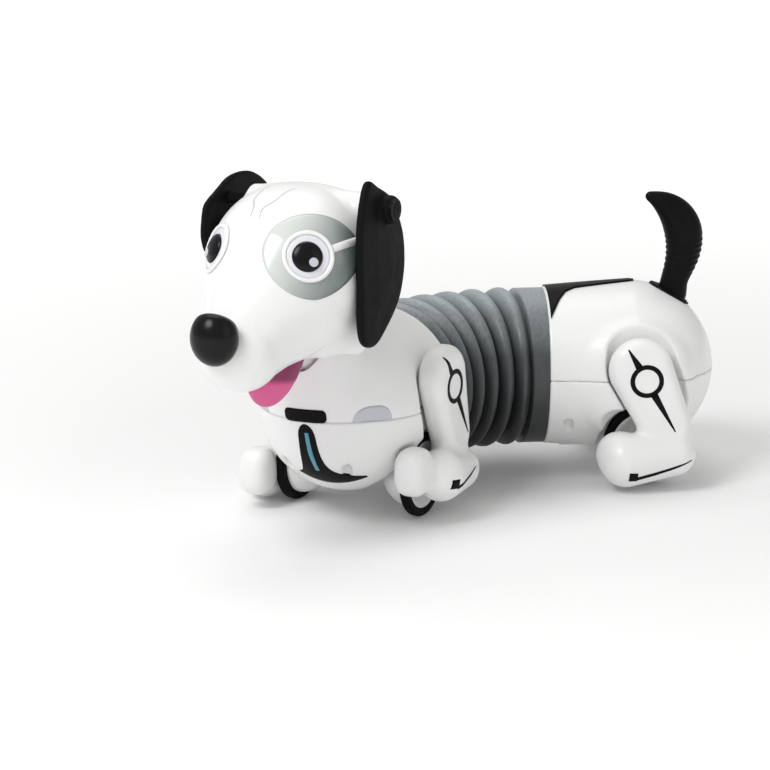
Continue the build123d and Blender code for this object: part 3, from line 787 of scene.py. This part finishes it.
normal = slope_of(skull, EYE[None])[0]
normal /= np.linalg.norm(normal)
dome = lambda s, peak: peak * np.sqrt(np.maximum(0, 1 - s**2))
patch_pale, patch_deep = (0.68, 0.71, 0.69), (0.10, 0.135, 0.128)
for name, side in SIDES.items():
    out = normal * np.array([1, side, 1])
    centre = EYE * np.array([1, side, 1])
    across = np.cross((0, 0, 1), out)
    across /= np.linalg.norm(across)
    flat = on_plane(centre + out * 12, across * side, np.cross(out, across))
    s = np.linspace(-1, 1, 9)
    ring = band(flat, (0.4, 0.2), 7.8, 9.6, across=9)
    raised(name + "_eye_ring", ring, 0.25 + dome(s, 0.8), -out, WHITE, "white_plastic", [name + "_eye"])
    s = np.linspace(0.02, 1, 14)
    white = disc_rows(flat, (0.3, 0.1), 7.9)
    raised(name + "_eye_white", white, 0.3 + 0 * s, -out, EYE_WHITE, "white_plastic")
    pupil = disc_rows(flat, (0, 0), 5.6)
    raised(name + "_pupil_dome", pupil, 0.35 + dome(s, 1.5), -out, NOSE_BLACK, "black_plastic",
           [name + "_pupil"])
    glint = disc_rows(flat, (1.8, -2.2), 1.6)
    raised(name + "_eye_glint", glint, 1.9 + 0 * s, -out, LILAC, "white_plastic")
    if side > 0:
        shade = graded("eye_patch_print", "front", flat(-11, 6), flat(17, -8), [patch_pale, patch_deep], 0.18)
        patch = outline_rows(flat, (2.5, 0.5), patch_outline())
        raised("left_eye_patch", patch, np.full(16, 0.16), -out, shade, "black_plastic")
        bar = stroke(flat, [(9.6, 2.9), (11, 3.4), (19.4, 6.5), (20.8, 7.0)], [2.8, 2.8, 2.8, 1.8], count=24)
        ridge = np.array([0.3, 0.6, 0.7, 0.6, 0.3])
        raised("left_eye_bar", bar, ridge, -out, WHITE, "white_plastic", closed=False)

# The mouth crease and the forehead lines are thin grey sheets of painted shade, standing for the shade in the
# real creases and grooves.
crease = stroke(on_plane((0, 60, 0), (1, 0, 0), (0, 0, 1)), [(133.5, 73.0), (131.6, 75.8), (129.0, 79.4)],
                [1.0, 0.7, 0.2], across=3, count=24)
mark("mouth_crease", "front", "head", head_outside, crease, (0, -1, 0), GROOVE_SHADE, lift=0.05, thick=0.12,
     slot="white_plastic")
from_above = on_plane((0, 0, 150), (1, 0, 0), (0, 1, 0))
for name, line in (
    ("right", [(116.5, -9.5), (121.5, -9.5), (125, -9.5), (129, -9), (133, -6.5), (137.5, -5.5)]),
    ("left", [(119.5, 3.5), (122, 2), (125, 1.5), (130.5, 0.5), (134, -2.5), (138, -1.5)]),
):
    brow = stroke(from_above, line, [0.3, 0.55, 0.6, 0.6, 0.6, 0.3], across=3, count=60)
    mark(name + "_forehead_line", "front", "head", skull, brow, (0, 0, -1), GROOVE_SHADE, lift=0.06, thick=0.12,
         slot="white_plastic")

# ------------------------ ears

EAR_LOOP = smooth_loop([(121, 139), (126, 128), (127.5, 115), (127, 100), (127, 88), (124, 80), (116, 78),
                        (107, 83), (97, 92), (92.5, 103.5), (93, 115), (97, 124), (104, 132), (113, 136.5)])
EAR_PIVOT = (110.0, 128.0)
EAR_BACK = 56.0  # how far the right ear is flung back


def ear_shape(p):
    """The left ear: a thin leaf with a round knob over its pin."""
    flat = loop_distance(p[:, 0], p[:, 2], EAR_LOOP)
    middle = 33.1 + 0.06 * np.maximum(0, -flat).clip(0, 12)
    leaf = rounded(flat, np.abs(p[:, 1] - middle) - 1.5, 1.4)
    knob = drum_y(p, 109.4, 127.9, 5.3, 32, 39.8, 2.9)
    return join(leaf, knob, 1.5)


def flung_ear_shape(p):
    """The right ear, flung back, with its root curled round the head."""
    back = turned(p * np.array([1, -1, 1]), (EAR_PIVOT[0], 0, EAR_PIVOT[1]), 1, EAR_BACK)
    back += np.array([EAR_PIVOT[0], 0, EAR_PIVOT[1]])
    flat = loop_distance(back[:, 0], back[:, 2], EAR_LOOP)
    root = np.hypot(p[:, 0] - 116.0, p[:, 2] - 116.5) - 12.0
    flat = join(flat, root, 6)
    return rounded(flat, np.abs(p[:, 1] + 31.9) - 1.4, 1.3)


EAR_STEP = 0.8
sculpt("left_ear_flap", "front", "left_ear", ear_shape, (88, 28, 74), (132, 43, 143), EAR_STEP,
       EAR_BLACK, "black_plastic", ["left_ear"])
sculpt("right_ear_flap", "front", "right_ear", flung_ear_shape, (64, -37, 90), (134, -27, 142), EAR_STEP,
       EAR_BLACK, "black_plastic", ["right_ear"])
stub = [(-20.0, 1e-3), (-20.0, 2.2), (-33.4, 2.2), (-33.4, 3.3)]
stub += arc((-33.6, 2.6), 0.8, 90, 180, 4) + [(-34.4, 1e-3)]
points, faces = lathe(stub, (EAR_PIVOT[0], 0, EAR_PIVOT[1]), 1, 40)
piece("right_ear_stub", "front", "head", points, faces, BLACK, "black_plastic", ["right_ear_pin"])

# ------------------------ legs

LEG_STEP = 0.8
for half, field, low, high in (
    ("front", front_leg, (40, 26, 4), (98, 52, 72)),
    ("rear", rear_leg, (-110, 26, 0), (-60, 52, 68)),
):
    points, faces = skin(field, low, high, LEG_STEP)
    for name, side in SIDES.items():
        drop = STEP_UP if (half == "front" and side < 0) else 0
        moved = points * np.array([1, side, 1]) - np.array([0, 0, drop])
        label = f"{half}_{name}_leg"
        piece(label + "_casting", half, label, moved, faces[:, ::side], WHITE, "white_plastic", [label])

# ------------------------ wheels

for half, axle_x, face_y in (("front", FRONT_AXLE_X, FRONT_FACE_Y), ("rear", REAR_AXLE_X, REAR_FACE_Y)):
    for name, side in SIDES.items():
        body = f"{half}_{name}_wheel"
        middle = (axle_x, 0, WHEEL_R)
        inner, outer = face_y - TYRE_W, face_y
        tread = [(inner, DISC_R - 0.1), (inner, WHEEL_R - 1.0)]
        tread += arc((inner + 1.0, WHEEL_R - 1.0), 1.0, 180, 90, 5)
        for groove in (inner + 1.5, inner + 2.1):
            tread += [(groove - 0.1, WHEEL_R), (groove, WHEEL_R - 0.25), (groove + 0.1, WHEEL_R)]
        tread += arc((outer - 1.0, WHEEL_R - 1.0), 1.0, 90, 0, 5)
        tread += [(outer, DISC_R + 0.1), (outer - 0.4, DISC_R - 0.1), (inner, DISC_R - 0.1)]
        disc = [(outer - 0.5, 0.0), (outer - 0.5, 2.6), (outer - 0.1, 3.0), (outer - 0.1, 4.2)]
        disc += [(outer - 1.4, 5.2), (outer - 1.4, 10.6), (outer - 0.5, 11.6)]
        disc += [(outer - 0.3, DISC_R - 0.2), (outer - 0.5, DISC_R)]
        disc += [(inner + 0.2, DISC_R), (inner, DISC_R - 0.4)]
        disc += [(inner - 13.6 * math.sin(t), 13.6 * math.cos(t)) for t in np.linspace(0.02, math.pi / 2, 20)]
        for label, profile, material, slot_name, node in (
            (body + "_tyre_ring", tread, TYRE, "tyre", f"{half}_{name}_tyre"),
            (body + "_disc", disc, WHITE, "white_plastic", f"{half}_{name}_wheel_hub"),
        ):
            points, faces = lathe([(side * a, max(r, 1e-3)) for a, r in profile], middle, 1)
            made = piece(label, half, body, points, faces, material, slot_name, [node])
            mend(made, 2e-6)

# ------------------------ bellows

BEND_R = RIM_X / math.tan(BEND / 2)
RIBS = 6.5
COLLAR_TURN, COLLAR_R = 8.5, 32.4
CREST, VALLEY, TUBE_WALL = 32.9, 28.0, 1.1


def bellows_radius(turn):
    """Outer radius of the tube by the angle along its bend, in degrees."""
    along = (turn - COLLAR_TURN) / (60 - COLLAR_TURN) * RIBS
    ribbed = VALLEY + (CREST - VALLEY) * np.abs(np.sin(math.pi * along)) ** 0.8
    start = np.clip((turn - COLLAR_TURN + 0.5) / 0.5, 0, 1)
    return np.where(turn < COLLAR_TURN, COLLAR_R + (VALLEY - COLLAR_R) * start, ribbed)


def bend_point(a):
    """A point on the waist's bent axis, by its angle from the rear rim."""
    return np.array([-RIM_X + BEND_R * math.sin(a), BEND_R * (1 - math.cos(a)), AXIS_Z])


def bellows_part(name, turn_from, turn_to, bodies):
    """The tube between two angles along the bend, between two bodies; it hides the CAD bellows when the first
    of them is the rear body.
    """
    turns = np.linspace(turn_from, turn_to, 150)
    around = np.linspace(0, 2 * math.pi, 144, endpoint=False)
    radii = bellows_radius(turns)
    rings = list(zip(turns, radii)) + list(zip(turns[::-1], radii[::-1] - TUBE_WALL))
    points, ridge = [], []
    for t, r in rings:
        a = math.radians(t)
        centre = bend_point(a)
        outward = np.array([math.sin(a), -math.cos(a), 0])
        for u in around:
            points.append(centre + outward * r * math.cos(u) + np.array([0, 0, r * math.sin(u)]))
            # Painted light and shade: the ridge value makes the colour paler towards the tube's top and
            # darker on its underside, and darker in the valleys between the ribs.
            painted_light_by_height = np.interp(math.sin(u), [-1, -0.3, 0.35, 0.8, 1], [0.12, 0.28, 0.72, 2.0, 3.4])
            ridge.append(painted_light_by_height * (0.3 + 0.75 * np.clip((r - VALLEY) / (CREST - VALLEY), 0, 1)))
    faces = grid_faces(len(rings), len(around), closed_columns=True, closed_rows=True)
    stood_for = ["bellows"] if bodies[0] == "rear_body" else ()
    made = piece(name, "rear", None, points, faces, BELLOWS, "grey_rubber", stood_for)
    layer = made.data.attributes.new("ridge", "FLOAT", "POINT")
    layer.data.foreach_set("value", np.array(ridge, np.float32))
    mend(made, 0)
    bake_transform(made)


bellows_part("bellows_rear", 0, 30, ("rear_body", "waist_link"))
bellows_part("bellows_front", 30, 60, ("waist_link", "front_body"))

# ------------------------ tail

TAIL_KEYS = [(-100.4, 75.0, 6.1), (-101.2, 80.5, 5.4), (-102.9, 85.5, 6.1), (-104.6, 91.0, 7.1),
             (-105.1, 97.0, 7.8), (-104.1, 103.0, 7.8), (-101.3, 108.3, 6.9), (-97.0, 112.3, 5.0),
             (-92.8, 114.6, 3.0), (-90.3, 115.5, 2.0)]  # x, height and radius, from root to tip
stations = np.linspace(0, len(TAIL_KEYS) - 1, 37)
TAIL_LINE = np.stack([np.interp(stations, np.arange(len(TAIL_KEYS)), row) for row in zip(*TAIL_KEYS)], 1)
for _ in range(4):
    TAIL_LINE[1:-1] = 0.5 * TAIL_LINE[1:-1] + 0.25 * (TAIL_LINE[:-2] + TAIL_LINE[2:])


def tail_shape(p):
    body = None
    for (xa, za, ra), (xb, zb, rb) in zip(TAIL_LINE, TAIL_LINE[1:]):
        part = rod(p * np.array([1, 1.12, 1]), (xa, 0, za), (xb, 0, zb), ra, rb)
        body = part if body is None else join(body, part, 0.3)
    up = (p[:, 2] - 84.0 + 0.25 * (p[:, 0] + 104)) / 2.35
    ribs = np.clip(1 - np.abs(p[:, 2] - 92.0) / 8.5, 0, 1) ** 0.4
    body = body + 0.42 * (0.5 - 0.5 * np.cos(2 * math.pi * up)) * ribs
    clear = np.minimum(0.3 - rump(p), np.hypot(p[:, 0] - TAIL_X, p[:, 1]) - TAIL_HOLE_R + 0.3)
    return overlap(body, clear, 0.4)


TAIL_STEP = 0.45
sculpt("tail_curl", "rear", "tail", tail_shape, (-116, -11, 70), (-84, 11, 121), TAIL_STEP,
       TAIL_BLACK, "black_rubber", ["tail"])


def tail_flange(p):
    """The flat ring round the tail's root, on the rump's skin."""
    q = turned(p, (-100.2, 0, 76.4), 1, -36)
    ring = rounded(np.hypot(q[:, 0] / 1.15, q[:, 1]) - 8.1, np.abs(q[:, 2]) - 4.5, 0.8)
    ring = overlap(overlap(ring, rump(p) - 1.0, 0.5), -(rump(p) + 0.6), 0.2)
    return cut(ring, np.hypot(p[:, 0] - TAIL_X, p[:, 1]) - TAIL_HOLE_R, 0.3)


sculpt("tail_flange", "rear", "rear_body", tail_flange, (-114, -11, 62), (-86, 11, 88), 0.5,
       TAIL_BLACK, "black_rubber")

# ------------------------ printed and inset marks

toe_back = (-1, 0, 0)  # from the toy's front towards its body
chest_face = on_plane((125, 0, 0), (0, 1, 0), (0, 0, 1))  # flat coordinates: y to the left, z up
bar_line = [(-8.0, 46.8), (-7.7, 46.8), (-7.0, 46.8), (-6, 46.8),
            (7.6, 47.1), (8.6, 47.1), (9.3, 47.1), (9.6, 47.1)]
bar = stroke(chest_face, bar_line, [1.8, 3.6, 4.8, 5.2, 5.2, 4.8, 3.6, 1.8], across=9, count=80)
mark("chest_bar", "front", "front_body", chest, bar, toe_back, PRINT, lift=0.25, thick=1.0,
     slot="black_plastic", replaces=["chest_sensor_window"])
EMBLEM_RIGHT, EMBLEM_LEFT = -7.6, 17.9  # the tips of its two arms
STEM_Y, STEM_HALF, STEM_LOW, STEM_RISE = 0.6, 3.65, 37.5, 6.0


def emblem_top(y):
    """The emblem's upper edge: a half-oval head on a stem that flares into a short and a long arm."""
    beyond = abs(y - STEM_Y) - STEM_HALF
    if beyond < 0:
        return STEM_LOW + STEM_RISE * math.sqrt(1 - ((y - STEM_Y) / STEM_HALF) ** 2)
    if y < STEM_Y:
        return 22.0 + (STEM_LOW - 22.0) * math.exp(-beyond / 0.95)
    return 20.2 + (STEM_LOW - 20.2) / (1 + 1.1 * beyond)


def emblem_low(y):
    """The emblem's lower edge, which sags between the arms."""
    return 17.7 + (0.026 if y < 5 else 0.0185) * (y - 5) ** 2


emblem = [[(125, y, z) for z in np.linspace(emblem_low(y), emblem_top(y), 30)]
          for y in np.linspace(EMBLEM_RIGHT, EMBLEM_LEFT, 150)]
mark("chest_emblem", "front", "front_body", chest, emblem, toe_back, PRINT, lift=0.2, thick=0.9,
     slot="black_plastic", replaces=["chest_trim"])
strip = stroke(chest_face, [(0.9, 40.0), (1.1, 31.8), (1.8, 23.8)], [1.5, 1.8, 1.5])
mark("chest_light", "front", "front_body", chest, strip, toe_back, LENS, lift=0.4, thick=0.9,
     slot="blue_lens", replaces=["chest_light_lens"])
PAW_MARKS = {
    "front": ((75.3, 17.4), [(74.0, 15.9), (68.5, 17.0), (61, 18.2), (54.5, 19.6)]),
    "rear": ((-78.6, 8.4), [(-80.0, 7.6), (-87.0, 9.2), (-95.0, 11.4), (-103, 14.2)]),
}
side_view = on_plane((0, 60, 0), (1, 0, 0), (0, 0, 1))
HIP_MARKS = {"front": (64.4, 53.4), "rear": (-84.3, 46.5)}  # middles of the printed rings
PATCH_X, PATCH_HALF, PATCH_RISE = 98.3, 5.8, 5.9
for name, side in SIDES.items():
    dome_rows = []
    for x in np.linspace(PATCH_X - PATCH_HALF, PATCH_X + PATCH_HALF, 36):
        rise = PATCH_RISE * max(0.0, 1 - abs((x - PATCH_X) / PATCH_HALF) ** 3) ** 0.5
        dome_rows.append([(x, side * 60.0, AXIS_Z + 0.3 + t * rise) for t in np.linspace(0, 1, 6)])
    mark(name + "_chest_patch", "front", "front_body", chest, dome_rows, (0, -side, 0), LILAC, lift=0.1,
         thick=0.15, slot="grey_plastic")
    for half, shape in (("front", front_leg), ("rear", rear_leg)):
        drop = STEP_UP if half == "front" and side < 0 else 0
        label = f"{half}_{name}_leg"
        x, z = HIP_MARKS[half]
        ring = band(side_view, (x, z), 4.9, 6.8)
        spike_up = stroke(side_view, [(x + 3.2, z + 5.6), (x + 8.0, z + 13.4)], [3.0, 0.5], count=20)
        spike_down = stroke(side_view, [(x - 3.0, z - 5.6), (x - 12.0, z - 21.0)], [3.0, 0.5], count=24)
        foot, trail = PAW_MARKS[half]
        square_line = [(foot[0] - 1.8, foot[1]), (foot[0] + 1.8, foot[1] + 0.2)]
        square = stroke(side_view, square_line, [3.7, 3.7], count=10)
        line = stroke(side_view, trail, [1.5, 1.4, 1.1, 0.4], count=36)
        flat_way = (0, -1, 0)
        for part, rows, closed, way in (
            ("ring", ring, True, flat_way),
            ("spike_up", spike_up, False, (-0.3, -0.85, -0.4)),
            ("spike_down", spike_down, False, flat_way),
            ("paw_square", square, False, flat_way),
            ("paw_line", line, False, flat_way),
        ):
            start = np.array(rows) - np.array([way[0], 0, way[2]]) * (60 - LEG_OUT_Y) / -way[1]
            made = mark(f"{label}_{part}", half, None, shape, start, way, PRINT, lift=0.08, thick=0.15,
                        closed=closed)
            if side < 0 or drop:
                flip = Matrix.Translation((0, 0, -drop)) @ Matrix.Scale(side, 4, (0, 1, 0))
                made.data.transform(HALVES[half] @ flip @ HALVES[half].inverted())
                if side < 0:
                    made.data.flip_normals()
            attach(made, label)


def saddle_rows():
    """The black panel over the rump's back: wide at the rim, then a long narrow tongue."""
    behind_rim = [0, 1.6, 4.5, 7.6, 11.8, 23.6, 34.6, 37.7]
    half_angles = [43, 36.8, 24.4, 14.2, 8.4, 5.4, 3.4, 0.3]
    rows = []
    for x in np.linspace(-RIM_X - 1.0, -84.0, 60):
        half_angle = np.interp(-(x + RIM_X + 1.0), behind_rim, half_angles)
        rows.append([(x, 60 * math.sin(math.radians(a)), AXIS_Z + 60 * math.cos(math.radians(a)))
                     for a in np.linspace(-half_angle, half_angle, 21)])
    return rows


def towards_axis(field, rows, lift):
    """Points dropped straight at the body's axis."""
    p = np.array(rows, float)
    shape = p.shape
    p = p.reshape(-1, 3)
    way = np.stack([0 * p[:, 0], -p[:, 1], AXIS_Z - p[:, 2]], 1)
    way /= np.linalg.norm(way, axis=1)[:, None]
    for _ in range(60):
        p = p + 0.9 * field(p)[:, None] * way
    return (p - way * lift).reshape(shape)


def rump_round(p):
    """The rump without its haunches."""
    return rod(p, (-48, 0, AXIS_Z), (-82.1, 0, AXIS_Z), 32.8, 35.5)


saddle = towards_axis(rump_round, saddle_rows(), 0.3)
made = piece("saddle_trim", "rear", "rear_body", saddle.reshape(-1, 3), grid_faces(*saddle.shape[:2]), BLACK,
             "black_plastic", ["saddle_panel"])
solid = made.modifiers.new("thickness", "SOLIDIFY")
solid.thickness, solid.offset = 1.0 * MM, 0

# ------------------------ CAD pieces that show as they are

KEPT = {
    "steel": ["rear_axle", "rear_screws", "front_screws", "rear_spine_pin", "front_spine_pin", "head_nod_pin",
              "front_left_axle", "front_right_axle", "drive_motors"],
    "white": ["battery_door", "front_left_leg_pin", "front_right_leg_pin", "rear_left_leg_pin",
              "rear_right_leg_pin"],
    "black": ["power_switch", "left_ear_pin", "speaker"],
    "grey": ["tail_socket", "rear_waist_frame", "front_waist_frame", "spine_link", "neck_pivot_post",
             "neck_yoke", "front_gearbox", "motor_bracket"],
    "board": ["front_circuit_board"],
    "cell": ["battery_cells"],
}
FINISH = {"steel": STEEL, "white": WHITE, "black": BLACK, "grey": GREY, "board": BOARD, "cell": CELL}
for finish, names in KEPT.items():
    for name in names:
        shown = frame["nodes"][name]
        shown.data.materials.clear()
        shown.data.materials.append(FINISH[finish])
        edge = shown.modifiers.new("edge", "BEVEL")
        edge.width, edge.segments, edge.limit_method = 0.15 * MM, 2, "ANGLE"

# ------------------------ floor, light and camera

mesh = bpy.data.meshes.new("floor")
reach = 12.0  # metres to each side
corners = [(x * reach, y * reach, 0) for x, y in ((-1, -1), (1, -1), (1, 1), (-1, 1))]
mesh.from_pydata(corners, [], [(0, 1, 2, 3)])
floor = bpy.data.objects.new("floor", mesh)
bpy.context.scene.collection.objects.link(floor)
floor_white = bpy.data.materials.new("floor_white")
floor_white.use_nodes = True
nodes, links = floor_white.node_tree.nodes, floor_white.node_tree.links
shader = nodes["Principled BSDF"]
grain = nodes.new("ShaderNodeTexNoise")
tint, glow = nodes.new("ShaderNodeMapRange"), nodes.new("ShaderNodeMapRange")
socket(grain, "Scale", 4)
# Painted light and shade: the floor glows, its emission rising with distance from the crossing, so it is
# painted darker round the toy and brighter further off.
away = nodes.new("ShaderNodeVectorMath")
away.operation = "DISTANCE"
away.inputs[1].default_value = (crossing.x, crossing.y, 0)
for node, name, value in (
    (tint, "To Min", 0.9), (tint, "To Max", 0.93),
    (glow, "From Min", 0.15), (glow, "From Max", 1.3), (glow, "To Min", 0.03), (glow, "To Max", 0.75),
    (shader, "Roughness", 0.7), (shader, "Emission Color", (1, 1, 1, 1)),
):
    socket(node, name, value)
links.new(grain.outputs["Fac"], tint.inputs["Value"])
links.new(tint.outputs["Result"], shader.inputs["Base Color"])
links.new(nodes.new("ShaderNodeTexCoord").outputs["Object"], away.inputs[0])
links.new(away.outputs["Value"], glow.inputs["Value"])
links.new(glow.outputs["Result"], shader.inputs["Emission Strength"])
mesh.materials.append(floor_white)

scene = bpy.context.scene
scene.view_settings.view_transform = "Standard"
world = bpy.data.worlds.new("studio")
world.use_nodes = True
socket(world.node_tree.nodes["Background"], "Color", (1.0, 0.995, 0.985, 1))
socket(world.node_tree.nodes["Background"], "Strength", 0.5)
scene.world = world


def softbox(name, place, aim, width, power):
    """A large soft lamp."""
    data = bpy.data.lights.new(name, "AREA")
    data.shape, data.size, data.energy = "DISK", width, power
    lamp = bpy.data.objects.new(name, data)
    lamp.location = place
    lamp.rotation_euler = (Vector(aim) - Vector(place)).to_track_quat("-Z", "Y").to_euler()
    scene.collection.objects.link(lamp)


centre = crossing + Vector((0, 0, -crossing.z + 0.05))
softbox("key", centre + Vector((0.55, 0.55, 0.75)), centre, 0.45, 5.6)
softbox("fill", centre + Vector((-0.8, 0.7, 0.45)), centre, 0.8, 0.9)
softbox("top", centre + Vector((0.1, -0.3, 1.0)), centre, 0.8, 2.4)

camera = bpy.data.objects.new("camera", bpy.data.cameras.new("camera"))
camera.location = Vector((crossing.x, crossing.y, 0)) + Vector((0.0633, 0.965, 0.2578))
camera.rotation_euler = (math.radians(77.1), 0, math.radians(177.4))
camera.data.lens, camera.data.sensor_width = 110.6, 36
scene.collection.objects.link(camera)
scene.camera = camera
